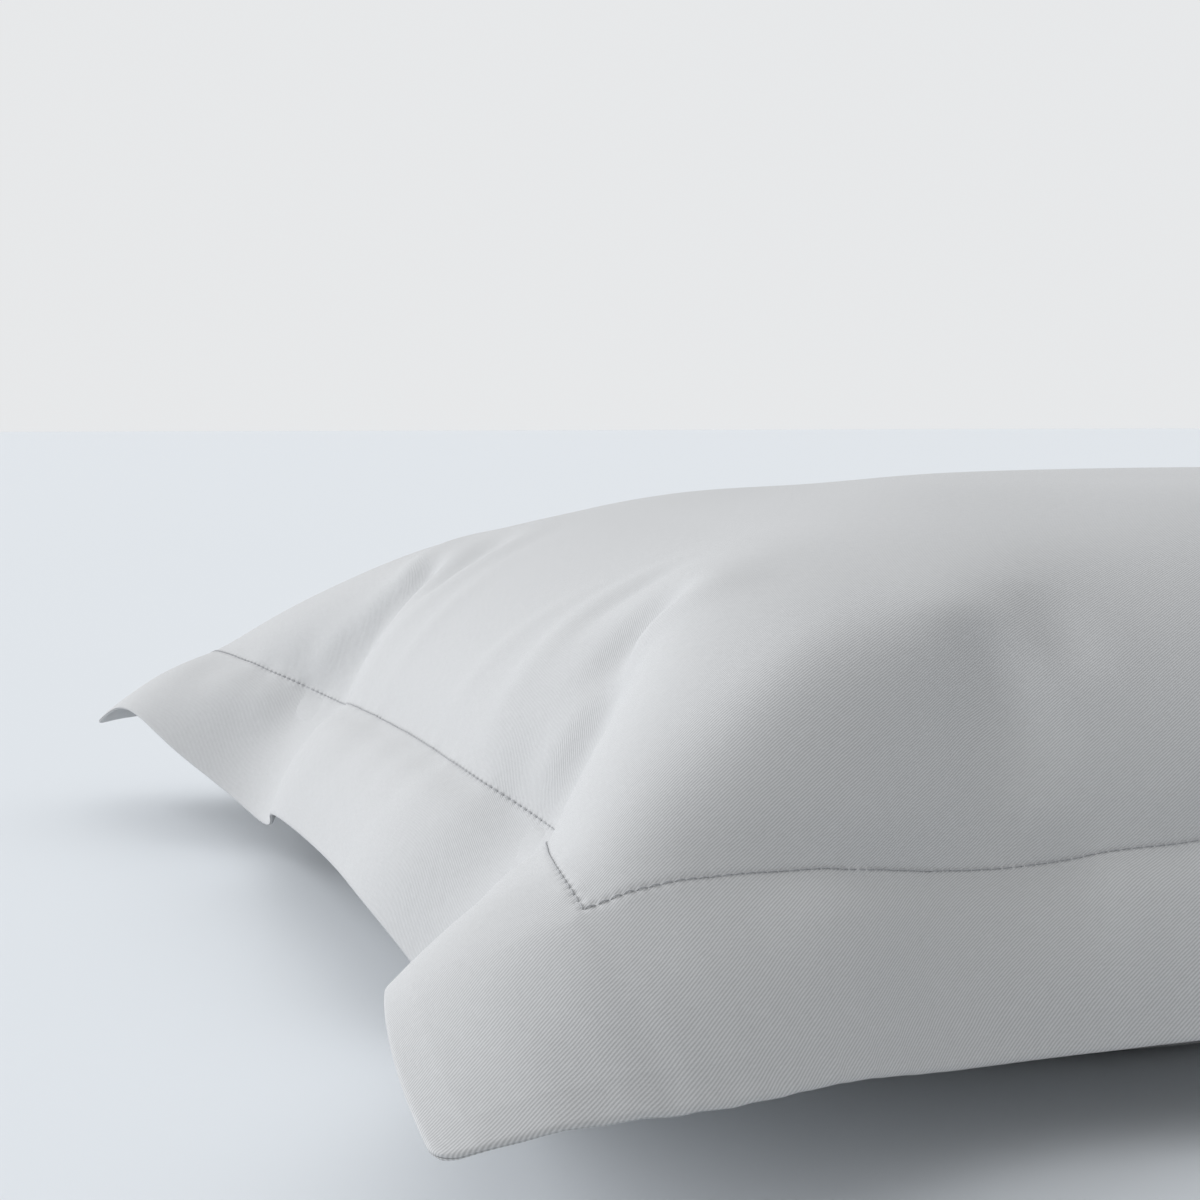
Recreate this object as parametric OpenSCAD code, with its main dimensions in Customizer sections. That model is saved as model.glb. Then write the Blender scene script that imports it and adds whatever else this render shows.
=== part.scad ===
// Bed pillow: a filled inner pillow in an Oxford pillowcase, lying on a flat surface.
// Millimetres. +X runs along the long side, +Y along the short side and +Z up.
// The origin is on the surface that the pillow lies on, under the middle of it.

/* [Pocket of the pillowcase, measured flat] */
// Length of the pocket between its seam lines
pocket_l = 750; // [600:10:900]
// Width of the pocket between its seam lines
pocket_w = 500; // [400:10:600]
// Width of the flange round the pocket
flange_w = 50; // [35:1:60]

/* [Shape when filled] */
// How far the filled pocket shortens along its length, at the corners
shrink_l = 14; // [8:1:20]
// How far the filled pocket shortens across its width, at the corners
shrink_w = 12; // [8:1:20]
// How far the middle of each short side is pulled in
pull_l = 24; // [10:1:24]
// How far the middle of each long side is pulled in
pull_w = 24; // [10:1:24]
// Height of the seam line above the surface below
seam_z = 58; // [46:1:60]
// Height of the crown
crown_z = 144; // [100:1:160]
// How steeply the flange starts down from the seam line, in degrees
hang_start = 28; // [20:1:35]
// How steeply the flange hangs at its edge, in degrees
hang_end = 80; // [70:1:85]

/* [Cloth] */
// Thickness of the pillowcase cloth
case_t = 0.5; // [0.4:0.05:0.6]
// Thickness of the inner pillow's ticking
ticking_t = 0.4; // [0.3:0.05:0.5]
// Air between two layers of cloth
gap = 0.3; // [0.25:0.05:0.35]
// How far the inner pillow's seam lies inside the pocket's seam line
insert_inset = 9; // [8:0.5:12]
// Diameter of the piping cord on the inner pillow's seam
piping_d = 3; // [2:0.5:3.5]
// Width that a row of stitching takes
thread_w = 0.8; // [0.6:0.1:1]
// Height of a row of stitching
thread_h = 0.3; // [0.2:0.05:0.4]

/* [Labels and closing stitch] */
// Width of the care label
label_w = 25; // [15:1:40]
// Length of the care label below its seam
label_l = 30; // [15:1:32]
// Distance of the care label from the middle of the short side
label_y = 60; // [60:5:170]
// Thickness of the folded label
label_t = 0.5; // [0.4:0.05:0.8]
// Length of the stitched-up gap in the inner pillow's seam
closing_l = 160; // [100:10:200]

/* [Hidden] */

case_grey = [0.78, 0.79, 0.80];
thread_grey = [0.62, 0.63, 0.65];
ticking_white = [0.93, 0.92, 0.89];
label_white = [0.95, 0.95, 0.94];

// Exponents of the crown and of the belly: a larger one is boxier.
crown_p = 2.3;
belly_p = 14;
// The belly's curve is cut off a little early, which leaves the flat base.
base_cut = 1.04;
// How much further than mid-side the flange spreads at the corners.
corner_spread = 0.34;
// Sharpness of the fold that runs to each corner of the flange.
corner_fold = 8;

half_l = pocket_l / 2;
half_w = pocket_w / 2;
hang_r = flange_w / ((hang_end - hang_start) * PI / 180);

// Steps of the lattice: from the middle to the seam line, then out across the flange.
steps_l = 8;
steps_w = 6;
steps_flange = 3;
near_seam = 0.998;
function half_steps(n, half) = [
    for (i = [1:n - 1]) half * sin(90 * i / n), half * near_seam, half];
function mirrored(list) = concat([for (i = [len(list) - 1:-1:0]) -list[i]], [0], list);
flange_steps = [for (i = [1:steps_flange]) i * flange_w / steps_flange];
body_u = half_steps(steps_l, half_l);
body_v = half_steps(steps_w, half_w);
U = mirrored(concat(body_u, [for (a = flange_steps) half_l + a]));
V = mirrored(concat(body_v, [for (a = flange_steps) half_w + a]));
pocket_U = mirrored(body_u);
pocket_V = mirrored(body_v);

// The flap's free edge is on this column of the lattice.
flap_column = 2;
flap_u = body_u[flap_column];
// Distance of a row of stitching from the line that it follows, and from the cloth.
stitch_in = 0.6;
thread_clear = 0.1;
// The share of the pocket's half width that the hems' stitching covers.
hem_share = 0.9;
// What lies flat in the air between two layers is this thick, and this far from both.
thin_t = gap * 2 / 3;
thin_clear = (gap - thin_t) / 2;
// Thickness of the filling at its edge, and how far it stays inside the insert's seam.
fill_edge = 0.2;
fill_inset = 2;

// The plan of the filled pocket. u and v are distances on the flat cloth.
function share(w, half) = min(1, abs(w) / half);
function seam_x(v) = half_l - shrink_l / 2 - pull_l * (1 - pow(share(v, half_w), 2));
function seam_y(u) = half_w - shrink_w / 2 - pull_w * (1 - pow(share(u, half_l), 2));

// The flange: how far across it a point is, and how far out and down that brings it.
function across(w, half) = max(0, abs(w) - half);
function hang(a) = hang_start + a / hang_r * 180 / PI;
function out(a) = hang_r * (sin(hang(a)) - sin(hang_start));
function drop(a) = hang_r * (cos(hang_start) - cos(hang(a)));
function spread(w, half) = 1 + corner_spread * pow(share(w, half), 8);
function fold(u, v) = pow(pow(across(u, half_l), corner_fold) + pow(across(v, half_w), corner_fold),
    1 / corner_fold);
function plan_x(u, v, inset = 0) = sign(u) * (share(u, half_l) * (seam_x(v) - inset)
    + spread(v, half_w) * out(across(u, half_l)));
function plan_y(u, v, inset = 0) = sign(v) * (share(v, half_w) * (seam_y(u) - inset)
    + spread(u, half_l) * out(across(v, half_w)));

// Outward and upward normal of the flange, shared by all its layers.
function lean(w, half) = abs(w) < half - 0.001 ? 0 : pow(max(0.01, across(w, half)), corner_fold - 1);
function flange_normal(u, v) =
    let(gu = lean(u, half_l), gv = lean(v, half_w), g = norm([gu, gv]), t = hang(fold(u, v)))
    [sign(u) * gu / g * sin(t), sign(v) * gv / g * sin(t), cos(t)];
function flange_at(u, v, depth) =
    [plan_x(u, v), plan_y(u, v), seam_z - drop(fold(u, v))] - depth * flange_normal(u, v);
function on_flange(u, v) = abs(u) > half_l - 0.001 || abs(v) > half_w - 0.001;

// The crown above the seam line and the belly below it, each lowered or raised by depth and
// drawn in by inset. At the seam line the crown starts above it, and the belly below it, by half.
function rise(u, v, p) = sqrt((1 - pow(share(u, half_l), p)) * (1 - pow(share(v, half_w), p)));
function crown_at(u, v, depth, inset, half = 0) = [plan_x(u, v, inset), plan_y(u, v, inset),
    seam_z + half + (crown_z - seam_z - half - depth) * rise(u, v, crown_p)];
function belly_at(u, v, depth, inset, half = 0) = [plan_x(u, v, inset), plan_y(u, v, inset),
    seam_z - half - (seam_z - half - depth) * min(1, base_cut * rise(u, v, belly_p))];

// The care label's hinge line, just under the flange and a little way out from the seam line.
label_out = 4.2;
label_drop = 8;
label_x = seam_x(label_y) + label_out;
label_z = seam_z - label_drop;

// One layer of cloth above or below the filling, at a depth inside the pillowcase.
function upper(u, v, depth) = on_flange(u, v) ? flange_at(u, v, depth) : crown_at(u, v, depth, depth);
function lower(u, v, depth) = on_flange(u, v) ? flange_at(u, v, flap_stack - depth)
    : belly_at(u, v, depth, depth);
flap_stack = 3 * case_t + 2 * gap;

// A closed sheet from two point lattices of the same size, top and bottom. Each cell is cut
// along the diagonal that points away from the middle of the pillow.
module sheet(top, bottom) {
    rows = len(top);
    cols = len(top[0]);
    n = rows * cols;
    function at(i, j) = i * cols + j;
    rim = concat([for (j = [0:cols - 1]) at(0, j)], [for (i = [1:rows - 1]) at(i, cols - 1)],
        [for (j = [cols - 2:-1:0]) at(rows - 1, j)], [for (i = [rows - 2:-1:1]) at(i, 0)]);
    polyhedron(
        points = concat([for (row = top) for (p = row) p], [for (row = bottom) for (p = row) p]),
        faces = concat(
            [for (i = [0:rows - 2]) for (j = [0:cols - 2])
                let(m = top[i][j] + top[i + 1][j + 1],
                    c = [at(i, j), at(i, j + 1), at(i + 1, j + 1), at(i + 1, j)],
                    k = m[0] * m[1] < 0 ? [c[1], c[2], c[3], c[0]] : c) each [
                [k[0], k[1], k[2]], [k[0], k[2], k[3]],
                [n + k[0], n + k[2], n + k[1]], [n + k[0], n + k[3], n + k[2]]]],
            [for (k = [0:len(rim) - 1]) let(a = rim[k], b = rim[(k + 1) % len(rim)]) each [
                [a, n + b, b], [a, n + a, n + b]]]));
}

// A tube or band through sections that all have the same number of points. turn is 1 where
// a section's points run clockwise as the band comes towards the eye, and otherwise -1.
module band(path, turn, closed = true) {
    sections = turn > 0 ? path : [for (s = path) [for (j = [len(s) - 1:-1:0]) s[j]]];
    m = len(sections[0]);
    n = len(sections);
    loops = closed ? n : n - 1;
    ends = closed ? [] : [[for (j = [0:m - 1]) j], [for (j = [m - 1:-1:0]) (n - 1) * m + j]];
    polyhedron(
        points = [for (s = sections) for (p = s) p],
        faces = concat(
            [for (i = [0:loops - 1]) for (j = [0:m - 1])
                let(a = i * m, b = ((i + 1) % n) * m, k = (j + 1) % m) each [
                [a + j, b + j, b + k], [a + j, b + k, a + k]]],
            ends));
}

// The outline of a lattice, counter-clockwise from -X -Y, as points of the flat cloth.
function outline(us, vs) = let(a = us[len(us) - 1], b = vs[len(vs) - 1]) concat(
    [for (i = [0:len(us) - 2]) [us[i], -b]], [for (i = [0:len(vs) - 2]) [a, vs[i]]],
    [for (i = [len(us) - 1:-1:1]) [us[i], b]], [for (i = [len(vs) - 1:-1:1]) [-a, vs[i]]]);
// Which way each point of an outline faces: a corner faces both ways.
function facing(p, us, vs) = [
    abs(p[0]) > us[len(us) - 1] - 0.001 ? sign(p[0]) : 0,
    abs(p[1]) > vs[len(vs) - 1] - 0.001 ? sign(p[1]) : 0];
function between(a, b, t) = (1 - t) * a + t * b;

// A row of stitching on the flange, along an outline. It starts at start and ends at
// start + thread_w from the outline, outwards for dir = 1 and inwards for dir = -1.
module flange_thread(us, vs, dir, start, depth, thick) {
    step = flange_w / steps_flange;
    band([for (p = outline(us, vs)) let(q = p + dir * step * facing(p, us, vs),
        lay = function(a, d) between(flange_at(p[0], p[1], d), flange_at(q[0], q[1], d), a / step))
        [lay(start, depth), lay(start + thread_w, depth),
            lay(start + thread_w, depth + thick), lay(start, depth + thick)]], dir);
}

// A row of stitching across the pillowcase's back, beside a column of the lattice.
module hem_thread(u_from, u_to, depth, thick) {
    wide = thread_w / (u_to - u_from);
    vs = [for (v = pocket_V) if (abs(v) < half_w * hem_share) v];
    band([for (v = vs) let(
        lay = function(t, d) between(lower(u_from, v, d), lower(u_to, v, d), t))
        [lay(0, depth), lay(wide, depth), lay(wide, depth + thick), lay(0, depth + thick)]],
        -1, false);
}

// A ring round the inner pillow's seam: its section is a list of [outward, up] from the seam
// line drawn in by inset.
module insert_ring(inset, section, vs = outline(pocket_U, pocket_V), closed = true) {
    band([for (p = vs) let(f = facing(p, pocket_U, pocket_V))
        [for (s = section) [plan_x(p[0], p[1], inset) + f[0] * s[0],
            plan_y(p[0], p[1], inset) + f[1] * s[0], seam_z + s[1]]]], -1, closed);
}
function box_section(w, low, high) = [[0, low], [w, low], [w, high], [0, high]];

module case_front() {
    color(case_grey)
        sheet([for (u = U) [for (v = V) upper(u, v, 0)]],
            [for (u = U) [for (v = V) upper(u, v, case_t)]]);
}

// The main back panel ends in its hem, just inside the seam line at +X.
module case_back() {
    us = [for (u = U) if (u < half_l - 0.001) u];
    color(case_grey)
        sheet([for (u = us) [for (v = V) lower(u, v, case_t)]],
            [for (u = us) [for (v = V) lower(u, v, 0)]]);
}

// The flap carries the flange's lower layer at +X and tucks inside the main back panel.
module case_flap() {
    us = [for (u = U) if (u > flap_u - 0.001) u];
    color(case_grey)
        sheet([for (u = us) [for (v = V) lower(u, v, 2 * case_t + gap)]],
            [for (u = us) [for (v = V) lower(u, v, case_t + gap)]]);
}

module flange_needle_thread() {
    color(thread_grey)
        flange_thread(pocket_U, pocket_V, 1, stitch_in, -thread_clear - thread_h, thread_h);
}

module flange_bobbin_thread() {
    color(thread_grey)
        flange_thread(pocket_U, pocket_V, 1, stitch_in, flap_stack + thread_clear, thread_h);
}

module edge_seam_thread() {
    color(thread_grey)
        flange_thread(U, V, -1, stitch_in, case_t + thin_clear, thin_t);
}

module back_hem_thread() {
    color(thread_grey)
        hem_thread(body_u[steps_l - 3], body_u[steps_l - 2], -thread_clear - thread_h, thread_h);
}

module flap_hem_thread() {
    color(thread_grey)
        hem_thread(flap_u, body_u[flap_column + 1], 2 * case_t + gap + thin_clear, thin_t);
}

// A folded tape that hangs by its top edge from the seam line, under the flange.
module care_label() {
    color(label_white)
        translate([label_x - label_t / 2, label_y - label_w / 2, label_z - label_l])
            cube([label_t, label_w, label_l]);
}

module ticking_top() {
    depth = case_t + gap;
    color(ticking_white)
        sheet([for (u = pocket_U) [for (v = pocket_V)
                crown_at(u, v, depth, insert_inset, gap / 2)]],
            [for (u = pocket_U) [for (v = pocket_V)
                crown_at(u, v, depth + ticking_t, insert_inset + ticking_t, gap / 2)]]);
}

module ticking_bottom() {
    depth = 2 * (case_t + gap);
    color(ticking_white)
        sheet([for (u = pocket_U) [for (v = pocket_V)
                belly_at(u, v, depth + ticking_t, insert_inset + ticking_t, gap / 2)]],
            [for (u = pocket_U) [for (v = pocket_V)
                belly_at(u, v, depth, insert_inset, gap / 2)]]);
}

module piping_cord() {
    r = piping_d / 2;
    color(ticking_white)
        insert_ring(insert_inset - gap - r, [for (a = [0:60:300]) r * [cos(a), sin(a)]]);
}

module ticking_seam_thread() {
    color(ticking_white)
        insert_ring(insert_inset + ticking_t + gap + thread_w, box_section(thread_w, -thread_h / 2,
            thread_h / 2));
}

// The stitched-up gap is in the short side at -X, just below the piping.
module closing_stitch() {
    top = -piping_d / 2 - thread_clear;
    vs = [for (p = outline(pocket_U, pocket_V)) if (p[0] < 0.001 - half_l && abs(p[1]) < closing_l / 2) p];
    color(thread_grey)
        insert_ring(insert_inset - gap - piping_d / 2, box_section(thread_w, top - thread_h, top),
            vs, false);
}

// A flat blank label on the inner pillow, near the +X +Y corner.
module insert_label() {
    us = [body_u[4], body_u[5]];
    vs = [body_v[1], body_v[2]];
    depth = case_t + thin_clear;
    color(label_white)
        sheet([for (u = us) [for (v = vs) crown_at(u, v, depth, depth)]],
            [for (u = us) [for (v = vs) crown_at(u, v, depth + thin_t, depth + thin_t)]]);
}

module filling() {
    inset = insert_inset + ticking_t + fill_inset;
    above = case_t + ticking_t + 2 * gap;
    below = 2 * case_t + ticking_t + 3 * gap;
    color([0.98, 0.98, 0.97])
        sheet([for (u = pocket_U) [for (v = pocket_V) crown_at(u, v, above, inset, fill_edge / 2)]],
            [for (u = pocket_U) [for (v = pocket_V) belly_at(u, v, below, inset, fill_edge / 2)]]);
}

case_front();
case_back();
case_flap();
flange_needle_thread();
flange_bobbin_thread();
edge_seam_thread();
back_hem_thread();
flap_hem_thread();
care_label();
ticking_top();
ticking_bottom();
piping_cord();
ticking_seam_thread();
closing_stitch();
insert_label();
filling();
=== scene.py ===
import math
import bmesh
import bpy
import numpy as np
from mathutils import Matrix, Vector


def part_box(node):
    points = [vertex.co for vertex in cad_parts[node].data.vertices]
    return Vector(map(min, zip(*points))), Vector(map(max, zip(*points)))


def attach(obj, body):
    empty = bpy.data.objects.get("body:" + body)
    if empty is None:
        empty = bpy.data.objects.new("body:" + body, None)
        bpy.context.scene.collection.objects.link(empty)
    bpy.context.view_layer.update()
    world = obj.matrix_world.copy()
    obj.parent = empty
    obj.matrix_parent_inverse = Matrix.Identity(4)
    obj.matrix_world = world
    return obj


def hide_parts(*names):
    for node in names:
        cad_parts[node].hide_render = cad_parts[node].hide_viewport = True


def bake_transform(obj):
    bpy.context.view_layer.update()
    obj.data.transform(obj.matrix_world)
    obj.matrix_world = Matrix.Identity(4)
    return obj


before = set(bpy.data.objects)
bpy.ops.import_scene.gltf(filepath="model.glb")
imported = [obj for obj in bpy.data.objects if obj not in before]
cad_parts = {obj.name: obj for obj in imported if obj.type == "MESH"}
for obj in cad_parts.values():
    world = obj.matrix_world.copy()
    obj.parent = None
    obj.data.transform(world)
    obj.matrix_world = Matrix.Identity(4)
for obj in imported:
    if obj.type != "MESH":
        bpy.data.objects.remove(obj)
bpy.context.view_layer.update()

# ---------------------------------------------------------------- sizes, in metres
POCKET_L = 0.750        # the pocket between its seam lines, on the flat cloth
POCKET_W = 0.500
FLANGE = 0.050
CLOTH = 0.0005          # one layer of pillowcase cloth
TICKING = 0.0004        # one layer of the inner pillow's cloth
AIR = 0.0001            # from the middle of the flange to either of its layers
HALF_L = POCKET_L / 2
HALF_W = POCKET_W / 2
EDGE_L = HALF_L + FLANGE
EDGE_W = HALF_W + FLANGE

# ---------------------------------------------------------------- cloth simulation
# The pillowcase is simulated from its flat cut: an upper panel with the flange, and a lower
# panel sewn to it along the seam line. The filling keeps its volume, and is heavier below.
PITCH = 0.0125          # spacing of the simulated lattice
FILL_VOLUME = 0.034     # cubic metres
FILL_DENSITY = 15.0     # how fast the filling's pressure grows downwards, kg/m3
FILL_PRESSURE = 3000.0  # how strongly it resists being squeezed, Pa
CLOTH_WEIGHT = 0.25     # kg/m2
INERTIA = 25.0          # cloth and the filling that moves with it, kg/m2
GRAVITY = 9.81
TIME_STEP = 0.00167
KEPT_SPEED = 0.995      # share of its speed that the cloth keeps after each step
GRIP = 0.5              # of the surface on the cloth
FLOOR = 0.0007          # height of the lower panel's middle where it lies flat
# How softly the cloth resists each strain: 0 is stiff.
STRETCH, SQUASH = 0.0, 4.0
SHEAR_OUT, SHEAR_IN = 8.0, 30.0
BEND_OUT, BEND_IN = 20.0, 200.0
FLANGE_BEND_OUT, FLANGE_BEND_IN = 15.0, 50.0
# The flange is ironed, so it keeps some of its own slope: degrees down at the seam and at its edge.
SLOPE_START = 28.0
SLOPE_END = 80.0
IRONED = 0.005          # share of the way back to that slope in each step
CORNER_FREE = 0.09      # no ironed slope this near a corner of the flange
HALF_FILL = 0.08        # height at which the filling's pressure is its mean
LIFT = 0.07             # the flat cut starts this high
START_BULGE = 0.03
CREASES = 0.002         # unevenness of the start
FULL_STEPS = 3000       # of the simulation
SIDE_LIFT = 0.0134      # the sides and the flange stand this much higher than the simulated ones
TOP_FADE = 0.8          # share of that lift that is gone at the crown
SEAM_LOW = 0.042        # height from which that lift fades
FULL_HEIGHT = 0.150     # height at which it has faded by that share


def braces(area, offset, rest, pull, push):
    """Pairs of lattice points that lie offset apart in an area, in groups that share no point."""
    (i0, i1), (j0, j1) = area
    di, dj = offset
    step = max(di, abs(dj))
    groups = []
    for first in range(2 * step):
        if di:
            a0 = slice(i0 + first, i1 - di, 2 * step)
            b0 = slice(i0 + first + di, i1, 2 * step)
            a1 = slice(j0 + max(0, -dj), j1 - max(0, dj))
            b1 = slice(j0 + max(0, dj), j1 - max(0, -dj))
        else:
            a0 = b0 = slice(i0, i1)
            a1 = slice(j0 + first, j1 - dj, 2 * step)
            b1 = slice(j0 + first + dj, j1, 2 * step)
        groups.append(((a0, a1), (b0, b1), rest * math.hypot(di, dj), pull, push))
    return groups


def weave_braces(shape, rest):
    area = ((0, shape[0]), (0, shape[1]))
    groups = []
    for offset in ((1, 0), (0, 1)):
        groups += braces(area, offset, rest, STRETCH, SQUASH)
    for offset in ((1, 1), (1, -1)):
        groups += braces(area, offset, rest, SHEAR_OUT, SHEAR_IN)
    for offset in ((2, 0), (0, 2)):
        groups += braces(area, offset, rest, BEND_OUT, BEND_IN)
    return groups


def flange_braces(shape, ring, rest):
    """Extra stiffness of the flange, which is two layers and its seam allowances."""
    n, m = shape
    groups = []
    for area in (((0, n), (0, ring + 1)), ((0, n), (m - ring - 1, m)),
                 ((0, ring + 1), (0, m)), ((n - ring - 1, n), (0, m))):
        for step in (ring // 2, ring):
            for offset in ((step, 0), (0, step)):
                groups += braces(area, offset, rest, FLANGE_BEND_OUT, FLANGE_BEND_IN)
    return groups


def hold(points, groups):
    """Moves each pair of points towards its rest length."""
    for a, b, rest, pull, push in groups:
        apart = points[b] - points[a]
        length = np.sqrt(np.einsum("...i,...i->...", apart, apart)) + 1e-12
        error = length - rest
        share = np.where(error > 0, 1 / (2 + pull), 1 / (2 + push))
        apart *= (share * error / length)[..., None]
        points[a] += apart
        points[b] -= apart


def cell_areas(p):
    return 0.5 * np.cross(p[1:, 1:] - p[:-1, :-1], p[:-1, 1:] - p[1:, :-1])


def cell_centres(p):
    return 0.25 * (p[1:, 1:] + p[:-1, :-1] + p[:-1, 1:] + p[1:, :-1])


def to_points(cells, shape):
    out = np.zeros(shape)
    for i in (slice(None, -1), slice(1, None)):
        for j in (slice(None, -1), slice(1, None)):
            out[i, j] += 0.25 * cells
    return out


def share_rim(source, target):
    """The lower panel's rim is sewn to the seam line of the upper one."""
    for side in ((0, slice(None)), (-1, slice(None)), (slice(None), 0), (slice(None), -1)):
        target[side] = source[side]


def volume_between(upper, lower):
    """The volume between the pocket of the upper panel and the lower panel."""
    return (np.einsum("ijk,ijk->", cell_areas(upper), cell_centres(upper))
            - np.einsum("ijk,ijk->", cell_areas(lower), cell_centres(lower))) / 3


def ironed_offsets(ring, pitch):
    """How far out and down each row of the flange lies from the seam line."""
    turn = math.radians(SLOPE_END - SLOPE_START) / FLANGE
    start = math.radians(SLOPE_START)
    reach = [k * pitch for k in range(ring + 1)]
    out = [(math.sin(start + turn * a) - math.sin(start)) / turn for a in reach]
    down = [(math.cos(start) - math.cos(start + turn * a)) / turn for a in reach]
    return out, down


def iron(upper, ring, offsets, fade_x, fade_y):
    """Pulls the flange a little towards its ironed slope, least at its corners."""
    out, down = offsets
    n, m = upper.shape[:2]
    for k in range(1, ring + 1):
        for row, seam, side in ((ring - k, ring, -1), (m - 1 - ring + k, m - 1 - ring, 1)):
            goal = upper[:, seam] + np.array([0, side * out[k], -down[k]])
            pull = fade_x[:, None] * (goal - upper[:, row]) / 2
            upper[:, row] += pull
            upper[:, seam] -= pull
        for row, seam, side in ((ring - k, ring, -1), (n - 1 - ring + k, n - 1 - ring, 1)):
            goal = upper[seam] + np.array([side * out[k], 0, -down[k]])
            pull = fade_y[:, None] * (goal - upper[row]) / 2
            upper[row] += pull
            upper[seam] -= pull


def settle(upper, lower, pitch, steps, volume_from):
    """Lets the pillow fall and settle. upper and lower are changed in place."""
    ring = round(FLANGE / pitch)
    n, m = upper.shape[:2]
    pocket = (slice(ring, n - ring), slice(ring, m - ring))
    upper_braces = weave_braces((n, m), pitch) + flange_braces((n, m), ring, pitch)
    lower_braces = weave_braces(lower.shape[:2], pitch)
    offsets = ironed_offsets(ring, pitch)
    along_x = np.linspace(-EDGE_L, EDGE_L, n)
    along_y = np.linspace(-EDGE_W, EDGE_W, m)
    fade_x = IRONED * np.clip((EDGE_L - CORNER_FREE - abs(along_x)) / CORNER_FREE, 0, 1)
    fade_y = IRONED * np.clip((EDGE_W - CORNER_FREE - abs(along_y)) / CORNER_FREE, 0, 1)
    mass = INERTIA * pitch * pitch
    weight = CLOTH_WEIGHT * GRAVITY * pitch * pitch
    upper_speed = np.zeros_like(upper)
    lower_speed = np.zeros_like(lower)
    for step in range(steps):
        volume = volume_from + (FILL_VOLUME - volume_from) * min(1, 2 * step / steps)
        squeeze = FILL_PRESSURE * (1 - volume_between(upper[pocket], lower) / volume)
        pushes = []
        for panel, side in ((upper[pocket], 1), (lower, -1)):
            depth = HALF_FILL - cell_centres(panel)[..., 2]
            pressure = squeeze + FILL_DENSITY * GRAVITY * depth
            pushes.append(to_points(side * cell_areas(panel) * pressure[..., None], panel.shape))
        upper_push = np.zeros_like(upper)
        upper_push[pocket] = pushes[0]
        rim = np.zeros_like(lower)
        share_rim(pushes[1], rim)
        upper_push[pocket] += rim
        upper_push[..., 2] -= weight
        pushes[1][..., 2] -= weight
        upper_speed += upper_push * (TIME_STEP / mass)
        lower_speed += pushes[1] * (TIME_STEP / mass)
        before = upper.copy(), lower.copy()
        upper += upper_speed * TIME_STEP
        lower += lower_speed * TIME_STEP
        share_rim(upper[pocket], lower)
        hold(upper, upper_braces)
        share_rim(upper[pocket], lower)
        hold(lower, lower_braces)
        share_rim(lower, upper[pocket])
        iron(upper, ring, offsets, fade_x, fade_y)
        for panel, old in zip((upper, lower), before):
            under = panel[..., 2] < FLOOR
            panel[..., 2][under] = FLOOR
            panel[..., :2][under] -= GRIP * (panel[..., :2][under] - old[..., :2][under])
        share_rim(upper[pocket], lower)
        upper_speed = (upper - before[0]) * (KEPT_SPEED / TIME_STEP)
        lower_speed = (lower - before[1]) * (KEPT_SPEED / TIME_STEP)


def flat_start(pitch):
    """The flat cut, held level above the surface, bulged a little and gently uneven."""
    ring = round(FLANGE / pitch)
    x, y = np.meshgrid(np.linspace(-EDGE_L, EDGE_L, round(2 * EDGE_L / pitch) + 1),
                       np.linspace(-EDGE_W, EDGE_W, round(2 * EDGE_W / pitch) + 1), indexing="ij")
    bulge = np.sqrt(np.clip(1 - (x / HALF_L) ** 2, 0, 1) * np.clip(1 - (y / HALF_W) ** 2, 0, 1))
    uneven = (np.sin(17 * x + 1.3) * np.cos(13 * y - 0.7) + 0.6 * np.sin(31 * x + 23 * y + 2.1)
              + 0.5 * np.sin(9 * x - 41 * y + 0.4))
    upper = np.stack([x, y, np.full_like(x, LIFT)], -1)
    lower = upper[ring:-ring, ring:-ring].copy()
    upper[..., 2] += START_BULGE * bulge + CREASES * uneven * np.minimum(1, 2 * bulge)
    lower[..., 2] -= START_BULGE * bulge[ring:-ring, ring:-ring]
    share_rim(upper[ring:-ring, ring:-ring], lower)
    return upper, lower


def finer(p):
    """The same lattice with a point between every two, on a smooth curve through them."""
    for _ in range(2):
        middle = 0.5 * (p[1:] + p[:-1])
        middle[1:-1] = (9 * (p[1:-2] + p[2:-1]) - p[:-3] - p[3:]) / 16
        out = np.zeros((2 * len(p) - 1,) + p.shape[1:])
        out[::2] = p
        out[1::2] = middle
        p = np.swapaxes(out, 0, 1)
    return p


def simulate(steps):
    upper, lower = flat_start(PITCH)
    ring = round(FLANGE / PITCH)
    settle(upper, lower, PITCH, steps, volume_between(upper[ring:-ring, ring:-ring], lower))
    return upper, lower


# ---------------------------------------------------------------- shaping after the simulation
def bell(x, middle, width):
    return np.exp(-((x - middle) / width) ** 2)


def cut_places(shape, half_l, half_w):
    return np.meshgrid(np.linspace(-half_l, half_l, shape[0]),
                       np.linspace(-half_w, half_w, shape[1]), indexing="ij")


def soften(points, share, times):
    """Evens out small kinks, by that share towards the mean of the four neighbours."""
    inner = (slice(1, -1), slice(1, -1))
    for _ in range(times):
        mean = (points[2:, 1:-1] + points[:-2, 1:-1] + points[1:-1, 2:] + points[1:-1, :-2]) / 4
        points[inner] += share[inner][..., None] * (mean - points[inner])
        for side in (0, -1):
            for line, part in ((points[side], share[side]), (points[:, side], share[:, side])):
                line[1:-1] += part[1:-1, None] * (0.5 * (line[2:] + line[:-2]) - line[1:-1])


KINK_REACH = 0.045      # kinks are evened out this near a corner of the seam line
MOST_SOFTENED = 0.6     # the most that each of three passes evens out
FLANGE_SOFTENED = 0.5
FLOOR_FADE = 0.008      # the lift fades out over about this height above the surface
END_RISE = 0.005        # the middle of each end stands this much higher
END_RISE_FROM = 0.25
END_RISE_OVER = 0.12
END_RISE_WIDTH = 0.16
CROWN_DROP = 0.004      # and the crown this much lower
CROWN_WIDTH = 0.14
CROWN_FROM = 0.09
CROWN_OVER = 0.06
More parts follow.
